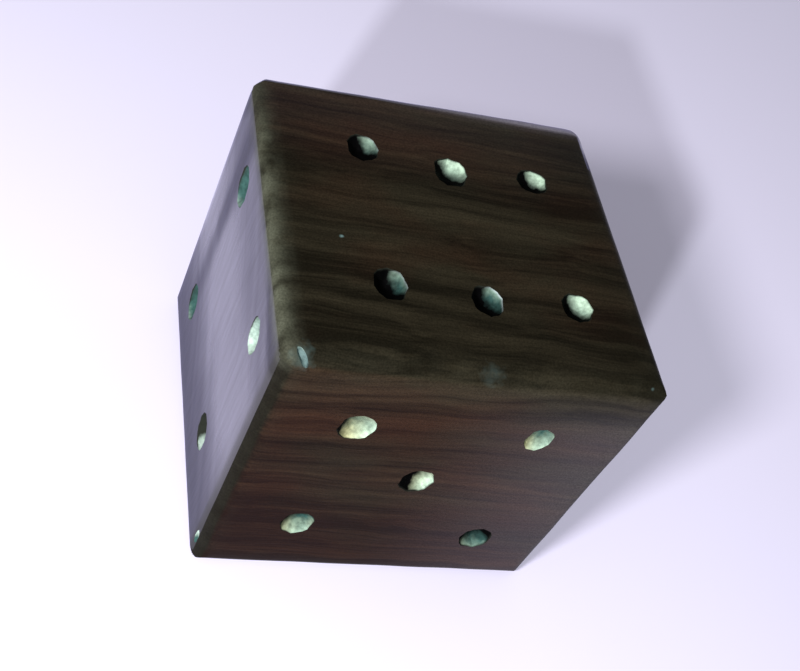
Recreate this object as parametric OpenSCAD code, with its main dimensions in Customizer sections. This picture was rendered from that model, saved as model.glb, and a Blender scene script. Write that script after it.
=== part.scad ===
// Wooden die. A block is sawn from square timber, its edges are rubbed round,
// and its pips are pits cut by hand. The grain runs along X, so the faces with
// three and four pips are end grain. Opposite faces add up to seven.
// The origin is at the middle of the face it rests on, and +Z is up.

/* [Block] */
// Length of the block, along the grain
block_l = 94; // [80:1:120]
// Width of the timber
block_w = 89; // [80:1:120]
// Height of the timber
block_h = 89; // [80:1:120]

/* [Edges] */
// Rounding of the four edges that run with the grain
long_edge_r = 4.5; // [2:0.25:7]
// Rounding of the four upright edges at the sawn ends
upright_edge_r = 4.5; // [2:0.25:7]
// Rounding of the four level edges at the sawn ends
cross_edge_r = 4.5; // [2:0.25:7]
// Share of that rounding on the edges that the maker rubbed least
crisp_share = 0.5; // [0.4:0.05:1]

/* [Wear] */
// Depth of the flat that knocks have left on the most worn corner
corner_wear = 1.6; // [0.4:0.1:2.2]
// Length of the chip across the top front edge
chip_l = 7.5; // [5:0.5:10]
// Width of that chip
chip_w = 2; // [1.5:0.1:4]
// Depth of that chip under the crest of the rounding
chip_depth = 1; // [0.4:0.1:1.4]
// Distance of that chip from the left end
chip_from_end = 5.2; // [4:0.1:8]
// Length of the sliver lost from the upright front left edge
sliver_l = 6.5; // [2:0.1:8]
// Width of that sliver
sliver_w = 1.8; // [1:0.1:3]
// Depth of that sliver under the crest of the rounding
sliver_depth = 0.6; // [0.3:0.1:1]
// Height of that sliver's middle above the floor
sliver_up = 9.5; // [6:0.5:20]

/* [Pips] */
// Distance of the outer pips from the sawn ends
pip_from_end = 23.5; // [18:0.5:26]
// Distance of the outer pips from the long sides
pip_from_side = 22.5; // [18:0.5:26]
// Width of a pit at its mouth
pit_w = 9; // [6:0.1:10]
// Depth of a pit at its floor
pit_depth = 3.2; // [1.5:0.1:4.5]
// Number of knife cuts round the wall of a pit
pit_cuts = 9; // [7:1:12]
// How far a cut strays in or out from a true round
cut_stray = 0.55; // [0:0.05:0.8]

/* [Hidden] */
$fn = 64;

// Colours of the stained wood and of what the pits show
stain = "#33291f";
pale = "#d3dccb";

// Spare length of the extrusions that are cut to size by the others
spare = 2;

// Wall of a pit from above its mouth down to its floor: a shallow bowl,
// each level as [share of the width, share of the depth]
pit_profile = [[1.08, 0.25], [1, 0], [0.88, -0.33], [0.68, -0.67], [0.36, -1]];

// Pips of each face, as the hand that marked them placed them: [column, row,
// stray right, stray up, share of width, share of height, share of depth, turn]
six = [
    [-1, 1, 2.9, 0.3, 0.93, 1.02, 0.9, 20], [0, 1, 2.1, -3.5, 1.02, 1.12, 0.9, 75],
    [1, 1, 1.3, -2.3, 1, 0.93, 0.95, 140], [-1, -1, 3.9, 1.1, 0.95, 1.08, 1.1, 200],
    [0, -1, 4.1, -0.4, 0.9, 1.05, 1.1, 310], [1, -1, 4.1, 0.8, 0.94, 0.99, 0.95, 250]
];
five = [
    [-1, 1, 0.6, -0.6, 1, 1.06, 0.6, 35], [1, 1, -1.1, 0.4, 0.78, 1, 0.65, 160],
    [0, 0, -0.9, 1.1, 0.98, 1.06, 0.95, 95], [-1, -1, -1.1, 0.7, 0.95, 1.1, 0.8, 280],
    [1, -1, 1.6, -2.1, 1, 1.08, 1.1, 215]
];
four = [
    [-1, 1, 4.2, 8, 1, 1.3, 0.9, 60], [1, 1, 3.9, 5.4, 0.86, 1.2, 0.85, 120],
    [-1, -1, -2.4, -0.8, 0.97, 1.35, 0.85, 330], [1, -1, -3.1, 0.2, 0.98, 1.3, 0.9, 10]
];
three = [
    [-1, 1, 1.5, -1.2, 0.98, 1.1, 0.95, 170], [0, 0, -1, 0.8, 1.05, 1.2, 1, 45],
    [1, -1, -0.6, 1.9, 0.94, 1.15, 0.9, 290]
];
two = [[-1, 1, 1.2, 0.6, 1.04, 1, 1, 230], [1, -1, -0.8, -1.4, 0.9, 1.02, 0.9, 85]];
one = [[0, 0, 0.9, -1.1, 1.08, 1.02, 1, 150]];

// Share of its rounding that each edge at the sawn ends has, seen from above for
// the upright ones and from the front for the level ones: [low left, low right,
// high left, high right]
upright_shares = [1, crisp_share, 1, 1];
cross_shares = [1, crisp_share, crisp_share, 1];

// Wear of each corner, as [side along X, along Y, along Z, share of corner_wear]
corners = [
    [1, 1, 1, 1], [1, -1, 1, 0.1], [-1, 1, 1, 0.6], [-1, -1, 1, 0.8],
    [1, 1, -1, 0.4], [1, -1, -1, 0.3], [-1, 1, -1, 0.45], [-1, -1, -1, 0.35]
];

// Turn of the chip away from square across its edge
chip_turn = 25;
// Lean of the sliver round its edge towards the left end
sliver_lean = 20;

// Share of a round pit's width that it reaches at angle a: two slow waves make
// it a little oval and a little three-cornered, each pit in its own way
function reach(a, turn) =
    1 + cut_stray / pit_w * (sin(2 * a + 3 * turn) + sin(3 * a + 5 * turn));

// Corners of a pit's wall at one level, not quite evenly spaced
function ring(level, width, length, depth, turn) = [
    for (i = [0 : pit_cuts - 1])
        let (
            a = (360 * i + 90 * sin(137 * i + turn)) / pit_cuts + turn,
            r = level[0] * reach(a, turn) / 2
        )
            [r * width * cos(a), r * length * sin(a), level[1] * depth]
];

// The wood that a hand cuts away to make a pit, with its mouth at z = 0
module hand_cut(width, length, depth, turn) {
    levels = len(pit_profile);
    last = levels - 1;
    polyhedron(
        points = [for (level = pit_profile) each ring(level, width, length, depth, turn)],
        faces = concat(
            [[for (i = [pit_cuts - 1 : -1 : 0]) i]],
            [
                for (k = [0 : last - 1], i = [0 : pit_cuts - 1])
                    let (j = (i + 1) % pit_cuts, up = k * pit_cuts, down = up + pit_cuts)
                        [up + i, up + j, down + j, down + i]
            ],
            [[for (i = [0 : pit_cuts - 1]) last * pit_cuts + i]]
        )
    );
}

// A rectangle about the origin, each corner with its own share of the rounding
module rounded_outline(a, b, r, shares = [1, 1, 1, 1]) {
    own = r * shares;
    x = a / 2;
    y = b / 2;
    polygon([
        [own[0] - x, -y], [x - own[1], -y], [x, own[1] - y], [x, y - own[3]],
        [x - own[3], y], [own[2] - x, y], [-x, y - own[2]], [-x, own[0] - y]
    ]);
    for (i = [0, 1], j = [0, 1])
        let (corner_r = own[i + 2 * j])
            translate([(2 * i - 1) * (x - corner_r), (2 * j - 1) * (y - corner_r)])
                circle(corner_r);
}

// The block about its own middle: three extrusions, one for each view, meet in
// it, as a plane run along every edge in turn leaves it
module block() {
    intersection() {
        rotate([90, 0, 90])
            linear_extrude(block_l + spare, center = true)
                rounded_outline(block_w, block_h, long_edge_r);
        linear_extrude(block_h + spare, center = true)
            rounded_outline(block_l, block_w, upright_edge_r, upright_shares);
        rotate([90, 0, 0])
            linear_extrude(block_w + spare, center = true)
                rounded_outline(block_l, block_h, cross_edge_r, cross_shares);
    }
}

// What wear has taken off one corner: all beyond a flat square to its diagonal
module worn_off(corner) {
    r = min(long_edge_r, upright_edge_r, cross_edge_r);
    tip = r * (sqrt(3 / 2) - sqrt(3));
    side = 4 * max(long_edge_r, upright_edge_r, cross_edge_r);
    translate([corner.x * block_l / 2, corner.y * block_w / 2, corner.z * block_h / 2])
        rotate([0, acos(corner.z / sqrt(3)), atan2(corner.y, corner.x)])
            translate([0, 0, tip - corner[3] * corner_wear + side / 2])
                cube(side, center = true);
}

// Puts its children on the crest of the rounded edge whose arc has its middle
// here, with z out of the wood
module on_edge(turn, r) {
    rotate(turn)
        translate([0, 0, r])
            children();
}

// Puts its children on a face, with x to the right, y up and z out of it
module on_face(turn, out) {
    rotate(turn)
        translate([0, 0, out])
            children();
}

// All the pits of one face, whose outer pips stand at [across, up] from its middle
module pits(pips, across, up) {
    for (p = pips)
        translate([p[0] * across + p[2], p[1] * up + p[3], 0])
            hand_cut(p[4] * pit_w, p[5] * pit_w, p[6] * pit_depth, p[7]);
}

module all_pits() {
    along = block_l / 2 - pip_from_end;
    across = block_w / 2 - pip_from_side;
    up = block_h / 2 - pip_from_side;
    on_face([0, 0, 0], block_h / 2) pits(six, along, across);
    on_face([180, 0, 0], block_h / 2) pits(one, along, across);
    on_face([90, 0, 0], block_w / 2) pits(five, along, up);
    on_face([90, 0, 180], block_w / 2) pits(two, along, up);
    on_face([90, 0, -90], block_l / 2) pits(four, across, up);
    on_face([90, 0, 90], block_l / 2) pits(three, across, up);
}

module chips() {
    translate([
        chip_from_end - block_l / 2, long_edge_r - block_w / 2, block_h / 2 - long_edge_r
    ])
        on_edge([45, 0, 0], long_edge_r)
            rotate(chip_turn)
                hand_cut(chip_w, chip_l, chip_depth, 0);
    translate([
        upright_edge_r - block_l / 2, upright_edge_r - block_w / 2, sliver_up - block_h / 2
    ])
        on_edge([90, 0, -45 - sliver_lean], upright_edge_r)
            hand_cut(sliver_w, sliver_l, sliver_depth, 0);
}

module die() {
    translate([0, 0, block_h / 2])
        difference() {
            color(stain)
                difference() {
                    block();
                    for (corner = corners)
                        worn_off(corner);
                }
            color(pale) {
                all_pits();
                chips();
            }
        }
}

die();
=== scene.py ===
# %% [markdown]
# # A wooden die, cut and painted by hand
#
# The real thing is one block of square timber, about as big as a fist. Its edges were planed and sanded
# round, it was stained nearly black and varnished, and its pips were cut in with a knife and dabbed with
# pale paint. There is nothing to take apart, so there is one piece to make: a block with twenty-one pits.
#
# The construction model comes first. It is the fixed frame that the finished piece has to fit.

# %% Load the frame
import math

import bpy
import numpy as np
from mathutils import Matrix, Vector, noise


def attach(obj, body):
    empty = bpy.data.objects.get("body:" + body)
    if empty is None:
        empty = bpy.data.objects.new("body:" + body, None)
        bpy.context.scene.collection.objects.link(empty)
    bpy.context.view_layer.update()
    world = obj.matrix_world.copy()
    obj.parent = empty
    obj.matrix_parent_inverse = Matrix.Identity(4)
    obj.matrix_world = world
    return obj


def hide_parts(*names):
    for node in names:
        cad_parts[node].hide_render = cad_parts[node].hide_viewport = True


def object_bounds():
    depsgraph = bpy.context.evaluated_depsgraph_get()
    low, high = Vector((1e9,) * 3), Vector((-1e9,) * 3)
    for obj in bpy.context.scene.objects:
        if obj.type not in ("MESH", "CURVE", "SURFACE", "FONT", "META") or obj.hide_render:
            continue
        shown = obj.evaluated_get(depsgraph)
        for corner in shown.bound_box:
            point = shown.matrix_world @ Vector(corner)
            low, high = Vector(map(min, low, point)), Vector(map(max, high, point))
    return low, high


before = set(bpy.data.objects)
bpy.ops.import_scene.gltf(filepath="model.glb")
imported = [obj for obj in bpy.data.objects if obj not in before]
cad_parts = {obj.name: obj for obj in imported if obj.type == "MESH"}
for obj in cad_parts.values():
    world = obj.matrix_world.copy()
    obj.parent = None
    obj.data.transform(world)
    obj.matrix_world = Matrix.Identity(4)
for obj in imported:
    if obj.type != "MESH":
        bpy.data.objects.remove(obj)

MM = 0.001
frame_low, frame_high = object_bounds()
size = np.array(frame_high - frame_low) / MM
middle = np.array(frame_high + frame_low) / 2 / MM
print("block in mm:", size.round(2).tolist(), "about", middle.round(2).tolist())

# %% [markdown]
# ## Three small helpers
#
# Paint charts give a colour as an sRGB hex value, but a shader adds light up in linear values, so one
# function turns the one into the other. The next adds one node to a tree with its settings and its links,
# so that each material below reads as a list of what it is made of. The last gives a pattern its place in
# millimetres, so that its scale can be worked out from a real size.

# %% Colours and nodes
def linear(hex_colour):
    """A linear RGBA colour from an sRGB hex value such as "#33291f"."""
    levels = [int(hex_colour[i:i + 2], 16) / 255 for i in (1, 3, 5)]
    return tuple(c / 12.92 if c <= 0.04045 else ((c + 0.055) / 1.055) ** 2.4 for c in levels) + (1.0,)


def node(tree, kind, inputs=None, **settings):
    """Adds one node, with its settings, and gives each named input its value or its link."""
    made = tree.nodes.new(kind)
    for name, value in settings.items():
        setattr(made, name, value)
    for key, value in (inputs or {}).items():
        if isinstance(value, bpy.types.NodeSocket):
            tree.links.new(value, made.inputs[key])
        else:
            made.inputs[key].default_value = value
    return made


def place_in_mm(tree):
    """Where on the block a pattern is, from Object coordinates, which are in metres."""
    place = node(tree, "ShaderNodeTexCoord").outputs["Object"]
    return node(tree, "ShaderNodeVectorMath", {0: place, 1: (1 / MM,) * 3}, operation="MULTIPLY").outputs[0]


# A Mix node keeps a pair of inputs for each kind of data. These are the places of its colour pair.
COLOUR_A, COLOUR_B, COLOUR_OUT = 6, 7, 2
print("stain as linear RGB:", [round(c, 4) for c in linear("#33291f")[:3]])

# %% [markdown]
# ## Camera
#
# The camera looks down on the corner where the six, the five and the four meet, from about a third of a
# metre, and it is rolled, so that the upright edges lean. Its place, its aim and its lens follow from the
# three vanishing points of the block's edges and from how much of the view the block fills.

# %% Camera
EYE_MM = (-119.3, -205.6, 293.5)
AIM_MM = (1.6, 0.5, 45.7)
ROLL_DEGREES = 29.1
LENS_MM = 58.9
SENSOR_MM = 36.0
NEAREST_SEEN_MM = 10


def add_camera():
    """A camera at EYE_MM that looks at AIM_MM, rolled about its own line of sight."""
    lens = bpy.data.cameras.new("camera")
    lens.lens = LENS_MM
    lens.sensor_width = SENSOR_MM
    lens.clip_start = NEAREST_SEEN_MM * MM
    camera = bpy.data.objects.new("camera", lens)
    bpy.context.scene.collection.objects.link(camera)
    eye, aim = Vector(EYE_MM) * MM, Vector(AIM_MM) * MM
    level = (aim - eye).to_track_quat("-Z", "Y").to_matrix()
    rolled = level @ Matrix.Rotation(math.radians(ROLL_DEGREES), 3, "Z")
    camera.matrix_world = Matrix.Translation(eye) @ rolled.to_4x4()
    bpy.context.scene.camera = camera
    return camera


camera = add_camera()
up = camera.matrix_world.to_3x3() @ Vector((0, 1, 0))
print("camera's up:", [round(c, 3) for c in up])

# %% [markdown]
# ## Studio
#
# A plain pale floor, two soft lamps in front on the left, one near and one far, and a dim even sky. A block
# this dark shows little of its own colour, and much of what we see on it is the floor mirrored in the
# varnish. The sky overhead is kept dim, or the top would mirror it and turn grey.

# %% Studio
FLOOR_COLOUR = "#eae8f7"
FLOOR_RADIUS_M = 3.0
FLOOR_SIDES = 96
FLOOR_ROUGHNESS, FLOOR_SHINE = 0.9, 0.1
SKY_COLOUR = "#e6e4ee"
SKY_STRENGTH = 0.45
# Each lamp: its place in mm from the floor under the middle of the block, its width in mm, its power in W
# and its colour.
LAMPS = {
    "near lamp": ((-355, -300, 400), 90, 3.4, "#faf5ff"),
    "front lamp": ((-527, -839, 522), 55, 9.0, "#f6f6ff"),
}


def add_floor():
    """A plain matt disk under the block, wide enough to fill every view."""
    bpy.ops.mesh.primitive_circle_add(vertices=FLOOR_SIDES, radius=FLOOR_RADIUS_M, fill_type="NGON")
    floor = bpy.context.object
    floor.name = "floor"
    matt = bpy.data.materials.new("pale paper")
    matt.use_nodes = True
    shader = matt.node_tree.nodes["Principled BSDF"]
    shader.inputs["Base Color"].default_value = linear(FLOOR_COLOUR)
    shader.inputs["Roughness"].default_value = FLOOR_ROUGHNESS
    shader.inputs["Specular IOR Level"].default_value = FLOOR_SHINE
    floor.data.materials.append(matt)


def add_lamp(name, place_mm, width_mm, watts, colour):
    """A soft round lamp, turned towards the block's middle."""
    light = bpy.data.lights.new(name, "AREA")
    light.shape = "DISK"
    light.size = width_mm * MM
    light.energy = watts
    light.color = linear(colour)[:3]
    lamp = bpy.data.objects.new(name, light)
    bpy.context.scene.collection.objects.link(lamp)
    lamp.location = Vector(place_mm) * MM
    to_block = Vector(middle) * MM - lamp.location
    lamp.rotation_euler = to_block.to_track_quat("-Z", "Y").to_euler()


def set_sky():
    """The same dim light from all round."""
    world = bpy.data.worlds.new("dim sky")
    world.use_nodes = True
    background = world.node_tree.nodes["Background"]
    background.inputs["Color"].default_value = linear(SKY_COLOUR)
    background.inputs["Strength"].default_value = SKY_STRENGTH
    bpy.context.scene.world = world


add_floor()
for name, facts in LAMPS.items():
    add_lamp(name, *facts)
set_sky()
bpy.context.scene.view_settings.view_transform = "Standard"
print("lamps:", ", ".join(LAMPS))

# %% [markdown]
# ## Finish of the wood: dark stain under varnish
#
# The timber is a plain softwood under walnut stain and a brushed varnish. The stain sinks into the pale
# early wood of each ring and skips the hard late wood, so the rings show as slow bands about 5 mm wide, and
# the fibres as streaks under 1 mm wide and a few centimetres long. Fine pores mottle all of it. The stain
# dried olive in some patches and red-brown in others. A pale lilac-grey painted sheen on the right of the
# front and along the back and right top edges stands for the floor mirrored in the varnish. The stain is
# thin and paler where the edges were sanded through, and along the top left edge, which faces the lamps,
# that pale band is partly a painted highlight. A few specks of the pips' paint lie outside the pits, and a
# pale patch round the near top corner on the left is a painted highlight.
#
# The rings are drawn in the solid: each point's distance from the heart of the tree, which lies outside the
# block and runs along X. The sides then show lines and the ends show arcs, as a sawn block does.
#
# There are two varnishes. On the long sides it has sunk in and hardly shines, which an index of refraction
# (IOR) of only 1.085 gives. The ends took coat after coat, and there, and where it ran over the far edges,
# the varnish is thick and has the true index of a lacquer, so that a low view finds the floor mirrored in
# it. The mesh steers both with five values: how red, how loaded with stain, how much painted sheen, how
# worn, with a painted highlight on the top left edge, and how rubbed.

# %% Figure of the wood
# The heart of the tree, and the distance from one ring to the next. A step along X counts for little in the
# distance from the heart, as the trunk hardly tapers.
HEART_MM = (0, 150, -210)
RING_MM = 5.5
TAPER = 0.02
# Lengths along X, Y and Z in which the rings wander and ripple, and how far they do.
WANDER_MM, WANDER_BY_MM = (150, 70, 70), 14
RIPPLE_MM, RIPPLE_BY_MM = (28, 14, 14), 5
# Widths of the fibres and of the streaks between them. Both are 35 times as long as wide, along X.
FIBRE_MM, STREAK_MM = 0.7, 3.2
DRAWN_OUT = (35, 1, 1)


def waves(lengths):
    """The scale at which one wave of a noise is that long along each axis."""
    return tuple(1 / length for length in lengths)


def wood_figure(tree):
    """Soaking of the stain from nought, pale, to one, deep; the rings; the fibres; and the place in mm."""
    in_mm = place_in_mm(tree)

    # A slow wander along the block keeps the rings from being true circles, and a short one ripples them.
    bent = in_mm
    for lengths, aside in ((WANDER_MM, WANDER_BY_MM), (RIPPLE_MM, RIPPLE_BY_MM)):
        scaled = node(tree, "ShaderNodeVectorMath", {0: in_mm, 1: waves(lengths)}, operation="MULTIPLY")
        wave = node(tree, "ShaderNodeTexNoise", {"Vector": scaled.outputs[0], "Scale": 1.0, "Detail": 1.0})
        off = node(tree, "ShaderNodeVectorMath", {0: wave.outputs["Color"], 1: (0, aside, aside)},
                   operation="MULTIPLY").outputs[0]
        bent = node(tree, "ShaderNodeVectorMath", {0: bent, 1: off}, operation="ADD").outputs[0]

    # Rings about the heart, each a little different from the next.
    from_heart = node(tree, "ShaderNodeVectorMath", {0: bent, 1: HEART_MM}, operation="SUBTRACT").outputs[0]
    across = node(tree, "ShaderNodeVectorMath", {0: from_heart, 1: (TAPER, 1, 1)}, operation="MULTIPLY")
    radius = node(tree, "ShaderNodeVectorMath", {0: across.outputs[0]}, operation="LENGTH")
    count = node(tree, "ShaderNodeMath", {0: radius.outputs["Value"], 1: RING_MM}, operation="DIVIDE")
    ring = node(tree, "ShaderNodeTexNoise",
                {"W": count.outputs[0], "Scale": 1.0, "Detail": 2.5, "Roughness": 0.6},
                noise_dimensions="1D")
    rings = node(tree, "ShaderNodeMapRange",
                 {"Value": ring.outputs["Fac"], "From Min": 0.34, "From Max": 0.66})

    # Fibres and streaks: noise drawn out along X, fine and coarse.
    drawn = node(tree, "ShaderNodeVectorMath", {0: bent, 1: waves(DRAWN_OUT)}, operation="MULTIPLY")
    fibre = node(tree, "ShaderNodeTexNoise",
                 {"Vector": drawn.outputs[0], "Scale": 1 / FIBRE_MM, "Detail": 4.0, "Roughness": 0.65})
    streak = node(tree, "ShaderNodeTexNoise",
                  {"Vector": drawn.outputs[0], "Scale": 1 / STREAK_MM, "Detail": 2.0, "Roughness": 0.5})
    lines = node(tree, "ShaderNodeMath", {0: streak.outputs["Fac"], 1: fibre.outputs["Fac"]},
                 operation="ADD")
    lined = node(tree, "ShaderNodeMath", {0: rings.outputs[0], 1: 0.45, 2: lines.outputs[0]},
                 operation="MULTIPLY_ADD")

    # Where the brush was loaded the stain went in deeper.
    loaded = node(tree, "ShaderNodeAttribute", attribute_name="loaded").outputs["Fac"]
    deeper = node(tree, "ShaderNodeMath", {0: loaded, 1: -0.5, 2: lined.outputs[0]},
                  operation="MULTIPLY_ADD")
    soaked = node(tree, "ShaderNodeMapRange",
                  {"Value": deeper.outputs[0], "From Min": 1.7, "From Max": 0.7})
    return soaked.outputs[0], rings.outputs[0], fibre.outputs["Fac"], in_mm


# %% Colour of the stain, with painted sheen and highlights, and splashes on it
DEEP_OLIVE, LIGHT_OLIVE = "#14120b", "#312d20"
DEEP_RED, LIGHT_RED = "#190d08", "#372518"
# Thin stain on sanded edges. Along the top left edge, which faces the lamps, it is partly a painted
# highlight.
THIN_STAIN_AND_HIGHLIGHT = "#4b4e3f"
# A pale lilac grey: a painted sheen that stands for the floor mirrored in the varnish.
PAINTED_SHEEN_COLOUR = "#8a8690"
# Blotches are twice as long as wide.
BLOTCH_MM, BLOTCH_DRAWN = 17.0, (2, 1, 1)
SANDED_PATCH_MM = 5
# The pores of softwood are about 0.05 mm wide. These are coarser, so that they show.
PORE_MM = 0.45
# Specks and smears of the pips' paint outside the pits: place in mm, reach in mm and strength. The third,
# a pale patch round the near top corner on the left, is a painted highlight. Their outline is ragged, and
# TEETH_MM is how wide its teeth are.
SPLASHES_AND_HIGHLIGHT = [
    ((-29.6, -8.2, 89.0), 0.6, 0.9), ((2.0, -43.0, 88.0), 3.5, 0.08), ((-42.0, -42.5, 87.5), 3.2, 0.16),
    ((42.5, -42.5, 88.0), 0.5, 0.3),
]
SPLASH_AND_HIGHLIGHT_COLOUR = "#6f8f88"
TEETH_MM = 1.6


def splashed_and_highlighted(tree, colour, in_mm):
    """The colour with the splashes and the painted highlight over it, each with a ragged outline."""
    ragged = node(tree, "ShaderNodeTexNoise", {"Vector": in_mm, "Scale": 1 / TEETH_MM, "Detail": 1.0})
    for place, reach, strength in SPLASHES_AND_HIGHLIGHT:
        away = node(tree, "ShaderNodeVectorMath", {0: in_mm, 1: place}, operation="DISTANCE")
        torn = node(tree, "ShaderNodeMath",
                    {0: ragged.outputs["Fac"], 1: 1.5 * reach, 2: away.outputs["Value"]},
                    operation="MULTIPLY_ADD")
        share = node(tree, "ShaderNodeMapRange",
                     {"Value": torn.outputs[0], "From Min": 1.75 * reach, "From Max": 0.6 * reach,
                      "To Max": strength})
        colour = node(tree, "ShaderNodeMix",
                      {0: share.outputs[0], COLOUR_A: colour, COLOUR_B: linear(SPLASH_AND_HIGHLIGHT_COLOUR)},
                      data_type="RGBA").outputs[COLOUR_OUT]
    return colour


def stain_colour(tree, soaked, rings, in_mm):
    """Olive or red-brown by blotches, deep where soaked, with painted sheen for the mirrored floor, and
    thin and pale where worn, partly a painted highlight.
    """
    drawn = node(tree, "ShaderNodeVectorMath", {0: in_mm, 1: waves(BLOTCH_DRAWN)}, operation="MULTIPLY")
    blotch = node(tree, "ShaderNodeTexNoise",
                  {"Vector": drawn.outputs[0], "Scale": 1 / BLOTCH_MM, "Detail": 3.0})
    red = node(tree, "ShaderNodeAttribute", attribute_name="red").outputs["Fac"]
    hue = node(tree, "ShaderNodeMath", {0: blotch.outputs["Fac"], 1: 1.5, 2: red},
               operation="MULTIPLY_ADD")
    redness = node(tree, "ShaderNodeMapRange", {"Value": hue.outputs[0], "From Min": 0.9, "From Max": 1.6})
    light, deep = (
        node(tree, "ShaderNodeMix",
             {0: redness.outputs[0], COLOUR_A: linear(olive), COLOUR_B: linear(brown)},
             data_type="RGBA").outputs[COLOUR_OUT]
        for olive, brown in ((LIGHT_OLIVE, LIGHT_RED), (DEEP_OLIVE, DEEP_RED))
    )
    stained = node(tree, "ShaderNodeMix", {0: soaked, COLOUR_A: light, COLOUR_B: deep},
                   data_type="RGBA").outputs[COLOUR_OUT]
    # Painted sheen: the mirrored floor, mixed into the colour as a pale lilac grey.
    painted_sheen = node(tree, "ShaderNodeAttribute", attribute_name="painted_sheen").outputs["Fac"]
    with_painted_sheen = node(tree, "ShaderNodeMix", {0: painted_sheen, COLOUR_A: stained, COLOUR_B: linear(PAINTED_SHEEN_COLOUR)},
                 data_type="RGBA").outputs[COLOUR_OUT]

    # Sanded edges: thin stain, in patches that follow the rings and in patches that don't. Along the top
    # left edge, which faces the lamps, this pale band is partly a painted highlight.
    patch = node(tree, "ShaderNodeTexNoise", {"Vector": in_mm, "Scale": 1 / SANDED_PATCH_MM, "Detail": 2.0})
    patched = node(tree, "ShaderNodeMapRange",
                   {"Value": patch.outputs["Fac"], "From Min": 0.35, "From Max": 0.6,
                    "To Min": 0.15, "To Max": 0.7})
    patchy = node(tree, "ShaderNodeMath", {0: rings, 1: 0.5, 2: patched.outputs[0]},
                  operation="MULTIPLY_ADD")
    worn = node(tree, "ShaderNodeAttribute", attribute_name="worn").outputs["Fac"]
    thin = node(tree, "ShaderNodeMath", {0: worn, 1: patchy.outputs[0]}, operation="MULTIPLY",
                use_clamp=True)
    thinned_and_highlighted = node(tree, "ShaderNodeMix",
                 {0: thin.outputs[0], COLOUR_A: with_painted_sheen, COLOUR_B: linear(THIN_STAIN_AND_HIGHLIGHT)},
                 data_type="RGBA").outputs[COLOUR_OUT]

    # Open pores: a fine mottle that runs through all of it.
    pore = node(tree, "ShaderNodeTexNoise", {"Vector": in_mm, "Scale": 1 / PORE_MM, "Detail": 1.0})
    mottle = node(tree, "ShaderNodeMapRange",
                  {"Value": pore.outputs["Fac"], "From Min": 0.3, "From Max": 0.7,
                   "To Min": 0.78, "To Max": 1.22})
    mottled = node(tree, "ShaderNodeVectorMath", {0: thinned_and_highlighted, "Scale": mottle.outputs[0]},
                   operation="SCALE")
    return splashed_and_highlighted(tree, mottled.outputs[0], in_mm)


def stained_wood(name):
    """A material with the stain's colour, painted sheen and highlights included, and the tree, rings,
    fibres and place in mm for its varnish.
    """
    material = bpy.data.materials.new(name)
    material.use_nodes = True
    tree = material.node_tree
    soaked, rings, fibre, in_mm = wood_figure(tree)
    colour = stain_colour(tree, soaked, rings, in_mm)
    tree.links.new(colour, tree.nodes["Principled BSDF"].inputs["Base Color"])
    return material, tree, rings, fibre, in_mm


# %% Two varnishes
# Index of refraction, roughness from the best brushed places to the dullest, and size of those places.
SUNKEN_IOR, SUNKEN_ROUGHNESS, SUNKEN_BRUSHED_MM = 1.085, (0.26, 0.4), 14
THICK_IOR, THICK_ROUGHNESS, THICK_BRUSHED_MM = 1.6, (0.08, 0.22), 22
# Height of the fibres that the sunken varnish still shows, and of the brush marks in the thick one.
FIBRE_HIGH_MM, BRUSH_MARK_HIGH_MM = 0.1, 0.18
# Brush marks are 3 mm wide and drawn out up the face.
BRUSH_MARK_MM = (3, 3, 26)
# The wood tints what little the sunken varnish mirrors, and a faint haze, a sheen, lies on the thick one.
SUNKEN_TINT = "#6a5a4c"
HAZE, HAZE_ROUGHNESS, HAZE_COLOUR = 0.25, 0.35, "#b4b4f0"


def make_sunken_varnish():
    """The long sides: the varnish has sunk in and hardly shines, least of all where it is worn."""
    material, tree, _, fibre, in_mm = stained_wood("walnut-stained softwood, sunken varnish, painted sheen")
    brushed = node(tree, "ShaderNodeTexNoise",
                   {"Vector": in_mm, "Scale": 1 / SUNKEN_BRUSHED_MM, "Detail": 3.0})
    best, dullest = SUNKEN_ROUGHNESS
    dull = node(tree, "ShaderNodeMapRange",
                {"Value": brushed.outputs["Fac"], "To Min": best, "To Max": dullest})
    worn = node(tree, "ShaderNodeAttribute", attribute_name="worn").outputs["Fac"]
    roughness = node(tree, "ShaderNodeMath", {0: worn, 1: 0.25, 2: dull.outputs[0]},
                     operation="MULTIPLY_ADD")
    fine = node(tree, "ShaderNodeBump",
                {"Height": fibre, "Strength": 0.6, "Distance": FIBRE_HIGH_MM * MM})
    shader = tree.nodes["Principled BSDF"]
    tree.links.new(roughness.outputs[0], shader.inputs["Roughness"])
    tree.links.new(fine.outputs["Normal"], shader.inputs["Normal"])
    shader.inputs["IOR"].default_value = SUNKEN_IOR
    shader.inputs["Specular Tint"].default_value = linear(SUNKEN_TINT)
    return material


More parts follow.
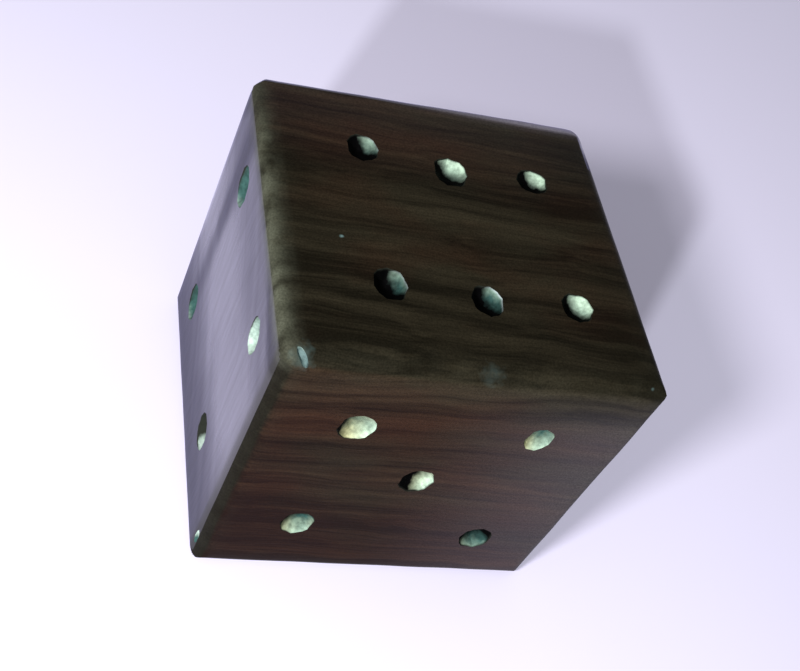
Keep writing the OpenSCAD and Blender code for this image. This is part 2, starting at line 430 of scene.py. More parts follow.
def make_thick_varnish():
    """The ends, whose pores took coat after coat, and the edges where it ran: thick, with a shine."""
    material, tree, rings, _, in_mm = stained_wood("walnut-stained softwood, thick varnish, painted sheen")

    # The shine is best in the middle, with faint arcs of the rings. It is dull where the mesh says
    # "rubbed", most of all where a late ring stands proud there.
    brushed = node(tree, "ShaderNodeTexNoise",
                   {"Vector": in_mm, "Scale": 1 / THICK_BRUSHED_MM, "Detail": 2.0})
    ringed = node(tree, "ShaderNodeMath", {0: rings, 1: 0.12, 2: brushed.outputs["Fac"]},
                  operation="MULTIPLY_ADD")
    best, dullest = THICK_ROUGHNESS
    dull = node(tree, "ShaderNodeMapRange",
                {"Value": ringed.outputs[0], "From Min": 0.3, "From Max": 0.85,
                 "To Min": best, "To Max": dullest})
    proud = node(tree, "ShaderNodeMath", {0: rings, 1: 0.15, 2: 0.9}, operation="MULTIPLY_ADD")
    rubbed = node(tree, "ShaderNodeAttribute", attribute_name="rubbed").outputs["Fac"]
    scuffed = node(tree, "ShaderNodeMath", {0: rubbed, 1: proud.outputs[0]}, operation="MULTIPLY")
    roughness = node(tree, "ShaderNodeMath", {0: dull.outputs[0], 1: scuffed.outputs[0]},
                     operation="ADD", use_clamp=True)

    pulled = node(tree, "ShaderNodeVectorMath", {0: in_mm, 1: waves(BRUSH_MARK_MM)}, operation="MULTIPLY")
    marks_left = node(tree, "ShaderNodeTexNoise",
                      {"Vector": pulled.outputs[0], "Scale": 1.0, "Detail": 2.0})
    brush = node(tree, "ShaderNodeBump",
                 {"Height": marks_left.outputs["Fac"], "Strength": 0.7,
                  "Distance": BRUSH_MARK_HIGH_MM * MM})
    shader = tree.nodes["Principled BSDF"]
    tree.links.new(roughness.outputs[0], shader.inputs["Roughness"])
    tree.links.new(brush.outputs["Normal"], shader.inputs["Normal"])
    shader.inputs["IOR"].default_value = THICK_IOR
    shader.inputs["Sheen Weight"].default_value = HAZE
    shader.inputs["Sheen Roughness"].default_value = HAZE_ROUGHNESS
    shader.inputs["Sheen Tint"].default_value = linear(HAZE_COLOUR)
    return material


wood = make_sunken_varnish()
glossy_wood = make_thick_varnish()
print("materials:", wood.name, "and", glossy_wood.name)

# %% [markdown]
# ## Finish of the pips: pale paint, dabbed, with painted shade and highlights
#
# The paint is a chalky greenish white, put into each pit with the tip of a brush. It catches on one wall of
# the pit and misses the other, where the dark stain still shows. The bare wall is the one turned from the
# lamps, so its dark is partly painted shade, and off the top a dark ring of bare stain round the rim is
# painted shade too. Five values carried by the mesh steer this: one above nought where the paint shows; one
# that tells the thin, greener dabs from the thick creamy ones and also paints shade darker and greener
# deeper in a pit and towards the bare wall; one for where the paint is yellower; one for nearly white
# paint, which on the top is a painted highlight on the rim; and one that paints the bare stain black as
# shade deep in a pit and dark grey-brown near the rim and on the ends, where it also stands for the floor
# mirrored in it.

# %% Dabbed paint, with painted shade and highlights
# The teal is partly paint in painted shade, and the near white is a painted highlight on the rims in the
# top.
PAINT_CREAM, PAINT_WARM, PAINT_TEAL_SHADE, PAINT_WHITE_AND_HIGHLIGHT = "#b1ccaf", "#bfbe88", "#36564e", "#c3d3cf"
# Bare stain in the pits: black as painted shade deep in a pit, and dark grey-brown near the rim and on the
# ends, where it also stands for the floor mirrored in it.
PIT_STAIN_IN_SHADE, LIP_STAIN_LESS_SHADED = "#020202", "#23261f"
PAINT_ROUGHNESS, PAINT_SHINE = 0.7, 0.03
# Sizes of the teeth of the paint's edge, of its clouds and of its chalky crumbs, and height of its lumps.
RAGGED_MM, CLOUD_MM, CRUMB_MM = 2.2, 2.5, 1.3
LUMP_HIGH_MM = 0.2


def make_dabbed_paint():
    """Chalk paint where it was dabbed, and the stained wall of the pit where it wasn't, with painted shade
    and highlights.
    """
    material = bpy.data.materials.new("chalk paint dabbed over stain, painted shade")
    material.use_nodes = True
    tree = material.node_tree
    in_mm = place_in_mm(tree)

    # The paint starts with a ragged, thin edge and soon covers. Where it doesn't, on the wall turned from
    # the lamps and round the rim, the bare stain is partly painted shade.
    ragged = node(tree, "ShaderNodeTexNoise", {"Vector": in_mm, "Scale": 1 / RAGGED_MM, "Detail": 3.0})
    dab_and_shade = node(tree, "ShaderNodeAttribute", attribute_name="dab_and_shade").outputs["Fac"]
    edge = node(tree, "ShaderNodeMath", {0: ragged.outputs["Fac"], 1: 0.45, 2: dab_and_shade},
                operation="MULTIPLY_ADD")
    covered_and_lit = node(tree, "ShaderNodeMapRange",
                   {"Value": edge.outputs[0], "From Min": 0.16, "From Max": 0.7})

    # Thin dabs are teal, thick ones cream, and the teal also paints shade deeper in a pit and towards the
    # bare wall. The nearly white is a painted highlight on the top's rims and white paint on the chips and
    # ends.
    teal_and_shade = node(tree, "ShaderNodeAttribute", attribute_name="teal_and_shade").outputs["Fac"]
    cloud = node(tree, "ShaderNodeTexNoise", {"Vector": in_mm, "Scale": 1 / CLOUD_MM, "Detail": 2.0})
    uneven = node(tree, "ShaderNodeMath", {0: cloud.outputs["Fac"], 1: 0.65, 2: teal_and_shade},
                  operation="MULTIPLY_ADD")
    greener_and_shaded = node(tree, "ShaderNodeMapRange",
                   {"Value": uneven.outputs[0], "From Min": 0.3, "From Max": 1.3})
    warm = node(tree, "ShaderNodeAttribute", attribute_name="warm").outputs["Fac"]
    white_and_highlight = node(tree, "ShaderNodeAttribute", attribute_name="white_and_highlight").outputs["Fac"]
    coat = linear(PAINT_CREAM)
    for share, tint in ((warm, PAINT_WARM), (greener_and_shaded.outputs[0], PAINT_TEAL_SHADE), (white_and_highlight, PAINT_WHITE_AND_HIGHLIGHT)):
        coat = node(tree, "ShaderNodeMix", {0: share, COLOUR_A: coat, COLOUR_B: linear(tint)},
                    data_type="RGBA").outputs[COLOUR_OUT]

    # Crumbs of chalk, darker between them.
    crumb = node(tree, "ShaderNodeTexNoise",
                 {"Vector": in_mm, "Scale": 1 / CRUMB_MM, "Detail": 3.0, "Roughness": 0.6})
    dusty = node(tree, "ShaderNodeMapRange",
                 {"Value": crumb.outputs["Fac"], "From Min": 0.35, "From Max": 0.62,
                  "To Min": 0.6, "To Max": 1.0})
    chalk = node(tree, "ShaderNodeVectorMath", {0: coat, "Scale": dusty.outputs[0]}, operation="SCALE")

    # The bare wall is painted black as shade deep in the pit, and dark grey-brown near the rim and on the
    # ends, where it also stands for the floor mirrored in it.
    shallow = node(tree, "ShaderNodeAttribute", attribute_name="shallow").outputs["Fac"]
    bare = node(tree, "ShaderNodeMix",
                {0: shallow, COLOUR_A: linear(PIT_STAIN_IN_SHADE), COLOUR_B: linear(LIP_STAIN_LESS_SHADED)},
                data_type="RGBA").outputs[COLOUR_OUT]
    colour = node(tree, "ShaderNodeMix",
                  {0: covered_and_lit.outputs[0], COLOUR_A: bare, COLOUR_B: chalk.outputs[0]},
                  data_type="RGBA").outputs[COLOUR_OUT]
    lumps = node(tree, "ShaderNodeBump",
                 {"Height": cloud.outputs["Fac"], "Strength": 0.5, "Distance": LUMP_HIGH_MM * MM})
    shader = tree.nodes["Principled BSDF"]
    tree.links.new(colour, shader.inputs["Base Color"])
    tree.links.new(lumps.outputs["Normal"], shader.inputs["Normal"])
    shader.inputs["Roughness"].default_value = PAINT_ROUGHNESS
    shader.inputs["Specular IOR Level"].default_value = PAINT_SHINE
    return material


paint = make_dabbed_paint()
print("material:", paint.name)

# %% [markdown]
# ## The blank
#
# A cube with a Bevel modifier gives a machine's block. This one was planed along each edge in turn and
# finished by hand, so it is built as a grid of points: flat in the middle of each face, along an arc at the
# edges, with the arcs meeting in a corner as three passes of a plane leave them. The plane didn't run true,
# so some roundings grow or shrink along their edge. Sanding takes a little more near the edges, each corner
# is worn by its own amount, and two long flats were rubbed on at the far top corner. All of that only takes
# wood away, so the blank never grows past the frame. The thick varnish is laid on by whole faces of the
# grid, so that its edge follows a grid line.

# %% Grid lines and points of the blank
EDGE_R = 4.5
# Length of a step of the grid on the flats, and number of steps in half a rounding.
FLAT_STEP = 1.9
ARC_STEPS = 7
# Share of the usual rounding on the crisper edges.
CRISP = 0.5
# Share of the rounding of each edge, at its low and at its high end. The four edges that lie across the
# same two axes are in the order low low, high low, low high, high high.
EDGE_SHARES = {
    (1, 2): ((1, 1), (1, 1), (1, 1), (1, 0.45)),
    (0, 1): ((1, 1), (0.95, 0.3), (1, 1.7), (1, 1)),
    (0, 2): ((1, 1), (CRISP, CRISP), (CRISP, CRISP), (0.6, 1.4)),
}


def lines_across(side):
    """Where the grid lines cross one side: even on the flat, at equal angles on the roundings."""
    flat_end = side / 2 - EDGE_R
    steps = int(round(2 * flat_end / FLAT_STEP))
    flat = np.linspace(-flat_end, flat_end, steps + 1)
    arc = EDGE_R * np.tan(np.linspace(0, math.pi / 4, ARC_STEPS + 1)[1:])
    return np.concatenate([-flat_end - arc[::-1], flat, flat_end + arc])


def box_grid():
    """Points on the sharp box about the origin, and its faces, with each point made once."""
    lines = [lines_across(side) for side in size]
    counts = [len(one) for one in lines]
    index = -np.ones(counts, int)
    outside = np.zeros(counts, bool)
    for axis in range(3):
        ends = [slice(None)] * 3
        for end in (0, -1):
            ends[axis] = end
            outside[tuple(ends)] = True
    index[outside] = np.arange(outside.sum())
    points = np.stack([grid[outside] for grid in np.meshgrid(*lines, indexing="ij")], axis=1)
    quads = []
    for axis in range(3):
        for end in (0, -1):
            ends = [slice(None)] * 3
            ends[axis] = end
            side = index[tuple(ends)]
            corners = [side[:-1, :-1], side[1:, :-1], side[1:, 1:], side[:-1, 1:]]
            faces = np.stack(corners, axis=-1).reshape(-1, 4)
            outward = (end == -1) == (axis != 1)
            quads.append(faces if outward else faces[:, ::-1])
    return points, np.concatenate(quads)


box_points, box_quads = box_grid()
print("grid:", len(box_points), "points,", len(box_quads), "faces")

# %% Round, sand and wear the blank
# Each point is found by halving its way so many times.
HALVINGS = 18
# Sanding takes an even depth and a wavy one, and fades out so far from the edges.
SANDED_REACH = 9.0
EVEN_DEPTH, WAVE_DEPTH = 0.18, 0.28
WAVE_MM = 11.0
WAVE_SHIFT = Vector((7.3, 3.1, 5.7))
# Half the width of the soft edge round a flat.
SOFT_MM = 0.25
# Depth of the flat on the far top corner, and each corner's share of it. Below nought, the flat is set out
# beyond the rounding.
CORNER_WEAR = 1.6
CORNER_SHARES = {
    (1, 1, 1): 1.0, (1, -1, 1): -0.75, (-1, 1, 1): 1.05, (-1, -1, 1): 0.8,
    (1, 1, -1): 0.4, (1, -1, -1): 0.3, (-1, 1, -1): 0.45, (-1, -1, -1): 0.35,
}
# How far a face must be turned towards the back, the right and the top, or towards an end, to lie under
# thick varnish: nought is not at all, and one is all the way.
TURNED, END_TURN = 0.25, 0.86
# The right top edge has thick varnish only behind this line.
BARE_EDGE_MM = 28.0
# Long flats rubbed along two edges at the far top corner. Each is a plane through three points, given by
# how far in from that corner they lie: where the flat runs out along the edge, then where it leaves the
# top, and where it leaves the side.
FAR_CORNER = (1, 1, 1)
RUBBED_FLATS = [((60, 0, 0), (0, 3.6, 0), (0, 0, 1.5)), ((0, 45, 0), (2.4, 0, 0), (0, 0, 1.0))]


def smooth(low, high, value):
    """Nought below low, one above high, and an easy curve between."""
    t = np.clip((value - low) / (high - low), 0, 1)
    return t * t * (3 - 2 * t)


def wavering(points):
    """A smooth random value from -1 to 1 at each point."""
    return np.array([noise.noise(Vector(p) / WAVE_MM + WAVE_SHIFT) for p in points])


def roundings(points):
    """For each pair of axes, the rounding of the edge beside each point. It runs along the third axis."""
    signs = (points > 0).astype(int)
    for (across, up), shares in EDGE_SHARES.items():
        along = 3 - across - up
        low, high = np.array(shares, float)[signs[:, across] + 2 * signs[:, up]].T
        yield (across, up), EDGE_R * (low + (high - low) * (points[:, along] / size[along] + 0.5))


def rounded(points):
    """Moves the points of the sharp box in until all three planed outlines hold them."""
    inner = np.clip(points, EDGE_R - size / 2, size / 2 - EDGE_R)
    out = points - inner
    low, high = np.zeros(len(points)), np.ones(len(points))
    for _ in range(HALVINGS):
        tried = (low + high) / 2
        placed = np.abs(inner + out * tried[:, None])
        held = np.ones(len(points), bool)
        for (across, up), own in roundings(points):
            past = [np.maximum(placed[:, axis] - (size[axis] / 2 - own), 0) for axis in (across, up)]
            held &= np.hypot(*past) <= own
        low, high = np.where(held, tried, low), np.where(held, high, tried)
    return inner + out * low[:, None], out


def edge_distance(points):
    """How far each point is from the second nearest side: nought on a sharp edge."""
    return np.sort(size / 2 - np.abs(points), axis=1)[:, 1]


def flattened(points, on_plane, normal):
    """Takes off all beyond a plane, with a soft edge round the flat."""
    past = (points - np.array(on_plane)) @ normal
    eased = (past + SOFT_MM) ** 2 / (4 * SOFT_MM)
    cut = np.where(past > SOFT_MM, past, np.where(past < -SOFT_MM, 0, eased))
    return points - cut[:, None] * normal


def worn_blank():
    """The blank's points about its middle, and the direction in which each first faced."""
    points, out = rounded(box_points)
    directions = out / np.linalg.norm(out, axis=1)[:, None]
    near_edge = 1 - smooth(0, SANDED_REACH, edge_distance(points))
    wave = (1 + wavering(points)) / 2
    taken = near_edge ** 2 * (EVEN_DEPTH + WAVE_DEPTH * wave)
    points = points - directions * taken[:, None]
    tip = EDGE_R * (math.sqrt(3 / 2) - math.sqrt(3))
    for signs, share in CORNER_SHARES.items():
        diagonal = np.array(signs) / math.sqrt(3)
        on_flat = size / 2 * np.array(signs) + diagonal * (tip - share * CORNER_WEAR)
        points = flattened(points, on_flat, diagonal)
    for insets in RUBBED_FLATS:
        start, far, down = np.array(FAR_CORNER) * size / 2 - np.array(insets)
        normal = np.cross(far - start, down - start)
        points = flattened(points, start, normal * np.sign(normal[2]) / np.linalg.norm(normal))
    return points, directions


def thick_varnish(points, directions):
    """Which faces lie under thick varnish: the ends, and the roundings at the back and on the right."""
    x, y, z = directions[box_quads].mean(axis=1).T
    behind = points[box_quads, 1].mean(axis=1) > BARE_EDGE_MM
    return (abs(x) > END_TURN) | (z > TURNED) & ((y > TURNED) | (x > TURNED) & behind)


def mesh_object(name, points, faces):
    """A new mesh object in the scene, from points in mm."""
    mesh = bpy.data.meshes.new(name)
    in_metres = [tuple(point) for point in np.array(points) * MM]
    mesh.from_pydata(in_metres, [], [tuple(int(i) for i in face) for face in faces])
    mesh.validate()
    made = bpy.data.objects.new(name, mesh)
    bpy.context.scene.collection.objects.link(made)
    return made


blank_points, directions = worn_blank()
blank = mesh_object("blank", blank_points + middle, box_quads)
blank.data.materials.append(wood)
blank.data.materials.append(glossy_wood)
is_thick = thick_varnish(blank_points, directions)
blank.data.polygons.foreach_set("material_index", is_thick.astype(np.int32))
print("blank:", [round(c / MM, 2) for c in blank.dimensions], "mm,", int(is_thick.sum()), "glossy faces")

# %% [markdown]
# ## Where the knife went in
#
# The pips are set out by eye in two or three rows. Each row of the tables below is one pip: its column and
# row, how far it strays to the right and upward in mm, its width, height and depth as shares of the usual
# pit, and how far the knife was turned, by quarter turns in degrees. The last three values say how it was
# painted: the direction in which the brush missed, in degrees, how much of the pit it missed, and how teal
# the dab is. The missed wall is the one turned from the lamps, so its dark is partly painted shade, and the
# teal is partly painted shade too. Opposite faces add up to seven.

# %% Tables of the pips
# How far the outer pips are from the sawn ends and from the long sides, and the size of the usual pit.
PIP_FROM_END = 23.5
PIP_FROM_SIDE = 22.5
PIT_WIDTH = 9.0
PIT_DEPTH = 3.2

SIX = [
    (-1, 1, 2.9, 0.3, 0.93, 1.02, 0.9, 0, 218, 0.76, 0.65),
    (0, 1, 2.1, -3.5, 1.02, 1.12, 0.9, 90, 228, 0.62, 0.1),
    (1, 1, 1.3, -2.3, 1, 0.93, 0.95, 180, 222, 0.7, -0.1),
    (-1, -1, 3.9, 1.1, 0.95, 1.08, 1.1, 90, 205, 0.72, 0.8),
    (0, -1, 4.1, -0.4, 0.9, 1.05, 1.1, 270, 210, 0.67, 0.95),
    (1, -1, 4.1, 0.8, 0.94, 0.99, 0.95, 0, 215, 0.62, 0.05),
]
FIVE = [
    (-1, 1, 0.6, -0.6, 1, 1.06, 0.6, 90, 172, 0.24, 0.3),
    (1, 1, -1.1, 0.4, 0.78, 1, 0.65, 180, 150, 0.14, 0.55),
    (0, 0, -0.9, 1.1, 0.98, 1.06, 0.95, 0, 160, 0.64, -0.1),
    (-1, -1, -1.1, 0.7, 0.95, 1.1, 0.8, 270, 130, 0.44, 0.6),
    (1, -1, 1.6, -2.1, 1, 1.08, 1.1, 180, 115, 0.7, 0.9),
]
FOUR = [
    (-1, 1, 4.2, 8, 1, 1.3, 0.9, 0, 170, -0.1, 1.3),
    (1, 1, 3.9, 5.4, 0.86, 1.2, 0.85, 90, 150, 0, 0.5),
    (-1, -1, -2.4, -0.8, 0.97, 1.35, 0.85, 180, 180, -0.1, 1.3),
    (1, -1, -3.1, 0.2, 0.98, 1.3, 0.9, 270, 180, 0.33, -0.1),
]
THREE = [
    (-1, 1, 1.5, -1.2, 0.98, 1.1, 0.95, 90, 120, 0.4, 0.1),
    (0, 0, -1, 0.8, 1.05, 1.2, 1, 0, 160, 0.45, 0.6),
    (1, -1, -0.6, 1.9, 0.94, 1.15, 0.9, 270, 100, 0.3, 0.2),
]
TWO = [
    (-1, 1, 1.2, 0.6, 1.04, 1, 1, 180, 60, 0.4, 0.4),
    (1, -1, -0.8, -1.4, 0.9, 1.02, 0.9, 0, 120, 0.5, 0.1),
]
ONE = [(0, 0, 0.9, -1.1, 1.08, 1.02, 1, 90, 30, 0.4, 0.5)]

# Each face as its pips and its directions: to the right, upward and out of it.
FACES = [
    (SIX, (1, 0, 0), (0, 1, 0), (0, 0, 1)), (ONE, (1, 0, 0), (0, -1, 0), (0, 0, -1)),
    (FIVE, (1, 0, 0), (0, 0, 1), (0, -1, 0)), (TWO, (-1, 0, 0), (0, 0, 1), (0, 1, 0)),
    (FOUR, (0, -1, 0), (0, 0, 1), (-1, 0, 0)), (THREE, (0, 1, 0), (0, 0, 1), (1, 0, 0)),
]


def pip_marks():
    """One mark for each pip: its place in mm, its axes, its size in mm, its turn and its paint."""
    marks = []
    for pips, *axes in FACES:
        right, upward, out = np.array(axes, float)
        half_right, half_up, half_out = (abs(axis) @ size / 2 for axis in (right, upward, out))
        inset_right = PIP_FROM_END if abs(right[0]) else PIP_FROM_SIDE
        inset_up = PIP_FROM_SIDE
        for column, row, stray_right, stray_up, width, height, depth, turn, bare_and_shaded_side, share, teal_and_shade in pips:
            wide, tall = (width, height) if turn % 180 == 0 else (height, width)
            place = (
                right * (column * (half_right - inset_right) + stray_right)
                + upward * (row * (half_up - inset_up) + stray_up) + out * half_out
            )
            marks.append({
                "place": place + middle, "axes": (right, upward, out), "turn": turn,
                "size": (PIT_WIDTH * wide, PIT_WIDTH * tall, PIT_DEPTH * depth),
                "bare_and_shaded_side": bare_and_shaded_side, "share": share, "teal_and_shade": teal_and_shade, "white_and_highlight": 0,
            })
    return marks


marks = pip_marks()
print("pips:", len(marks))

# %% [markdown]
# ## Two chips
#
# A flake has come off the top front edge beside the left corner, and a sliver off the upright edge in front
# on the left, just above the floor. Both are cut with the same former as the pips, only long and thin, on
# the crest of the rounded edge, and both show pale.

# %% Chips on the edges
# How far the crest of a rounded edge lies inside both its sides.
CREST = EDGE_R * (1 - math.sqrt(0.5))
# Each cut's size, turn, and paint, as how teal it is and how nearly white. The sliver leans from the crest
# towards the left end.
CHIP_FROM_END, CHIP_SIZE, CHIP_TURN, CHIP_PAINT = 5.2, (2.0, 7.5, 1.0), 25, (0.8, 0.15)
SLIVER_UP, SLIVER_SIZE, SLIVER_TURN, SLIVER_PAINT = 9.5, (1.5, 6.5, 0.6), 0, (0.2, 0.0)
SLIVER_LEAN = 20
# The paint covers a chip past its rim.
CHIP_MISSED_SHARE = -0.2


def chip_mark(arc_middle, right, out, size_mm, turn, paint_mix):
    """A mark on the crest of the rounded edge whose arc has its middle there."""
    right, out = (np.array(axis, float) / np.linalg.norm(axis) for axis in (right, out))
    teal_and_shade, white_and_highlight = paint_mix
    return {
        "place": np.array(arc_middle) + out * EDGE_R + middle,
        "axes": (right, np.cross(out, right), out), "turn": turn, "size": size_mm,
        "bare_and_shaded_side": 0, "share": CHIP_MISSED_SHARE, "teal_and_shade": teal_and_shade, "white_and_highlight": white_and_highlight,
    }


half = size / 2
marks.append(chip_mark((CHIP_FROM_END - half[0], EDGE_R - half[1], half[2] - EDGE_R),
                       (1, 0, 0), (0, -1, 1), CHIP_SIZE, CHIP_TURN, CHIP_PAINT))
lean = math.radians(45 - SLIVER_LEAN)
marks.append(chip_mark((EDGE_R - half[0], EDGE_R - half[1], SLIVER_UP - half[2]),
                       (math.sin(lean), -math.cos(lean), 0), (-math.cos(lean), -math.sin(lean), 0),
                       SLIVER_SIZE, SLIVER_TURN, SLIVER_PAINT))
print("marks with the chips:", len(marks))

# %% [markdown]
# ## Cutting the pits
#
# Twenty-three cuts that differ only in place, size and turn are a job for Geometry Nodes. A short former,
# the shape that a knife leaves in eleven strokes, is put on every mark, all are made real, cut finer and
# roughened a little, and the lot is taken out of the blank with one Mesh Boolean.

# %% Former of a pit
CUTS = 11
# The strokes stray from even turns by up to STRAY degrees over their number, and STRAY_STEP tells one from
# the next.
STRAY, STRAY_STEP = 90, 137
PIT_PROFILE = [(1.08, 0.25), (1.0, 0.0), (0.88, -0.33), (0.68, -0.67), (0.36, -1.0)]


def pit_former():
    """A closed bowl, 1 mm across and 1 mm deep, with its mouth at nought. Each mark gives its size."""
    points = []
    for reach, level in PIT_PROFILE:
        for i in range(CUTS):
            angle = math.radians((360 * i + STRAY * math.sin(math.radians(STRAY_STEP * i))) / CUTS)
            points.append((reach / 2 * math.cos(angle), reach / 2 * math.sin(angle), level))
    last = (len(PIT_PROFILE) - 1) * CUTS
    faces = [tuple(range(CUTS)), tuple(range(last + CUTS - 1, last - 1, -1))]
    for k in range(len(PIT_PROFILE) - 1):
        for i in range(CUTS):
            j = (i + 1) % CUTS
            faces.append((k * CUTS + i, (k + 1) * CUTS + i, (k + 1) * CUTS + j, k * CUTS + j))
    return mesh_object("pit former", points, faces)


former = pit_former()
print("former:", len(former.data.vertices), "points")

# %% Marks as a mesh of points
def marks_object():
    """One point for each mark. Turn and size are attributes that the node tree reads by name."""
    made = mesh_object("marks", [mark["place"] for mark in marks], [])
    turned = made.data.attributes.new("turned", "FLOAT_VECTOR", "POINT")
    sized = made.data.attributes.new("sized", "FLOAT_VECTOR", "POINT")
    for i, mark in enumerate(marks):
        axes = Matrix([tuple(axis) for axis in mark["axes"]]).transposed()
        spun = axes @ Matrix.Rotation(math.radians(mark["turn"]), 3, "Z")
        turned.data[i].vector = spun.to_euler()
        sized.data[i].vector = mark["size"]
    return made


cutter = marks_object()
print("marks:", len(cutter.data.vertices))

# %% Node tree that cuts the pits
def pit_tree():
    """The tree, and the identifier of each of its inputs by name."""
    tree = bpy.data.node_groups.new("hand-cut pits", "GeometryNodeTree")
    sockets = {}
    for name, kind in (("Marks", "NodeSocketGeometry"), ("Blank", "NodeSocketObject"),
                       ("Former", "NodeSocketObject"), ("Finer", "NodeSocketInt"),
                       ("Roughness", "NodeSocketFloat"), ("Stroke", "NodeSocketFloat"),
                       ("Seed", "NodeSocketFloat"), ("Paint", "NodeSocketMaterial")):
        sockets[name] = tree.interface.new_socket(name, in_out="INPUT", socket_type=kind).identifier
    tree.interface.new_socket("Die", in_out="OUTPUT", socket_type="NodeSocketGeometry")
    given = node(tree, "NodeGroupInput").outputs
    one_pit = node(tree, "GeometryNodeObjectInfo", {"Object": given["Former"]}).outputs["Geometry"]
    turned = node(tree, "GeometryNodeInputNamedAttribute", {"Name": "turned"}, data_type="FLOAT_VECTOR")
    turn = node(tree, "FunctionNodeEulerToRotation", {0: turned.outputs["Attribute"]}).outputs[0]
    sized = node(tree, "GeometryNodeInputNamedAttribute", {"Name": "sized"}, data_type="FLOAT_VECTOR")
    placed = node(tree, "GeometryNodeInstanceOnPoints",
                  {"Points": given["Marks"], "Instance": one_pit, "Rotation": turn,
                   "Scale": sized.outputs["Attribute"]})
    real = node(tree, "GeometryNodeRealizeInstances", {"Geometry": placed.outputs[0]})
    finer = node(tree, "GeometryNodeSubdivideMesh", {"Mesh": real.outputs[0], "Level": given["Finer"]})
    place = node(tree, "GeometryNodeInputPosition").outputs[0]
    per_metre = node(tree, "ShaderNodeMath", {0: 1.0, 1: given["Stroke"]}, operation="DIVIDE").outputs[0]
    uneven = node(tree, "ShaderNodeTexNoise",
                  {"Vector": place, "W": given["Seed"], "Scale": per_metre, "Detail": 1.0},
                  noise_dimensions="4D").outputs["Color"]
    centred = node(tree, "ShaderNodeVectorMath", {0: uneven, 1: (0.5, 0.5, 0.5)}, operation="SUBTRACT")
    moved = node(tree, "ShaderNodeVectorMath", {0: centred.outputs[0], "Scale": given["Roughness"]},
                 operation="SCALE").outputs[0]
    rough = node(tree, "GeometryNodeSetPosition", {"Geometry": finer.outputs[0], "Offset": moved})
    painted = node(tree, "GeometryNodeSetMaterial",
                   {"Geometry": rough.outputs[0], "Material": given["Paint"]})
    block = node(tree, "GeometryNodeObjectInfo", {"Object": given["Blank"]}).outputs["Geometry"]
    cut = node(tree, "GeometryNodeMeshBoolean", operation="DIFFERENCE", solver="EXACT")
    tree.links.new(block, cut.inputs["Mesh 1"])
    tree.links.new(painted.outputs[0], cut.inputs["Mesh 2"])
    whole = node(tree, "GeometryNodeRealizeInstances", {"Geometry": cut.outputs["Mesh"]})
    is_paint = node(tree, "GeometryNodeMaterialSelection", {"Material": given["Paint"]}).outputs[0]
    finish = node(tree, "GeometryNodeSetMaterial",
                  {"Geometry": whole.outputs[0], "Selection": is_paint, "Material": given["Paint"]})
    node(tree, "NodeGroupOutput", {"Die": finish.outputs[0]})
    return tree, sockets


# %% Cut the pits
# Each former is cut finer so many times, and its points are then moved by up to half the roughness, in
# waves as long as a stroke of the knife.
FINER_LEVELS = 2
ROUGH_MM, STROKE_MM = 0.9, 2.6
SEED = 4.0


def cut_pits():
    """The die as a plain mesh object."""
    tree, sockets = pit_tree()
    modifier = cutter.modifiers.new("hand-cut pits", "NODES")
    modifier.node_group = tree
    inputs = {"Blank": blank, "Former": former, "Finer": FINER_LEVELS, "Roughness": ROUGH_MM * MM,
              "Stroke": STROKE_MM * MM, "Seed": SEED, "Paint": paint}
    for name, value in inputs.items():
        modifier[sockets[name]] = value
    seen = bpy.context.evaluated_depsgraph_get()
    mesh = bpy.data.meshes.new_from_object(cutter.evaluated_get(seen), depsgraph=seen)
    cutter.modifiers.remove(modifier)
    mesh.name = "die"
    made = bpy.data.objects.new("wooden_die", mesh)
    bpy.context.scene.collection.objects.link(made)
    return made


die = cut_pits()
for spent in (blank, former, cutter):
    bpy.data.objects.remove(spent)
triangles = sum(len(face.vertices) - 2 for face in die.data.polygons)
print("die:", triangles, "triangles,", [slot.name for slot in die.material_slots])

# %% [markdown]
# ## What the finishes need to know
#
# A material can't tell an edge from a flat, or one pip from the next, so the mesh tells it. Every point
# says how worn it is, with a painted highlight along the top left edge, how red its stain came out, how
# loaded the brush was, how much painted sheen stands for the mirrored floor and how rubbed. Every corner of
# a face in a pit says where it lies in the dab and what the paint, its painted shade and its painted
# highlight are like there, and the faces outside the pits say nothing, so no paint bleeds over a rim.

# %% Places on the block
# Sides of the block, each as its axis and its direction.
LEFT, RIGHT, FRONT, BACK, TOP = (0, -1), (0, 1), (1, -1), (1, 1), (2, 1)


def beside(points, side, starts, full):
    """One within `full` mm of that side, nought more than `starts` mm from it, and a blend between."""
    axis, sign = side
    return smooth(half[axis] - starts, half[axis] - full, sign * points[:, axis])


def place_in_block(points):
    """Each point's place along X, Y and Z, from -1 at one side to 1 at the other."""
    return (points / half).T


# %% Wear with a painted highlight, stain, and painted sheen
WORN_REACH = 9.0
# Width of the roundings, over which the wear of the top left edge starts.
TURN_WIDE = EDGE_R * 1.6
# The top left edge, which faces the lamps, is worn most, and its pale band is partly a painted highlight.
TOP_LEFT_WEAR_AND_HIGHLIGHT, OTHER_WORN = 1.0, 0.06
# Corners where stain has pooled and dried nearly black, with how far in mm it reaches.
POOLED = {(1, -1, 1): 8, (-1, -1, -1): 7, (-1, 1, 1): 5}
POOLED_LOAD = 1.5


def wear_and_highlight_values(points):
    """Most along the top left edge, where it is partly a painted highlight, less towards its far end, and a
    trace along the others.
    """
    near_edge = 1 - smooth(CREST, WORN_REACH, edge_distance(points))
    top_left = beside(points, LEFT, TURN_WIDE, 0) * beside(points, TOP, TURN_WIDE, 0)
    share = OTHER_WORN + (TOP_LEFT_WEAR_AND_HIGHLIGHT - OTHER_WORN) * top_left
    return near_edge * share * (1 - 0.6 * smooth(15, 40, points[:, 1]))


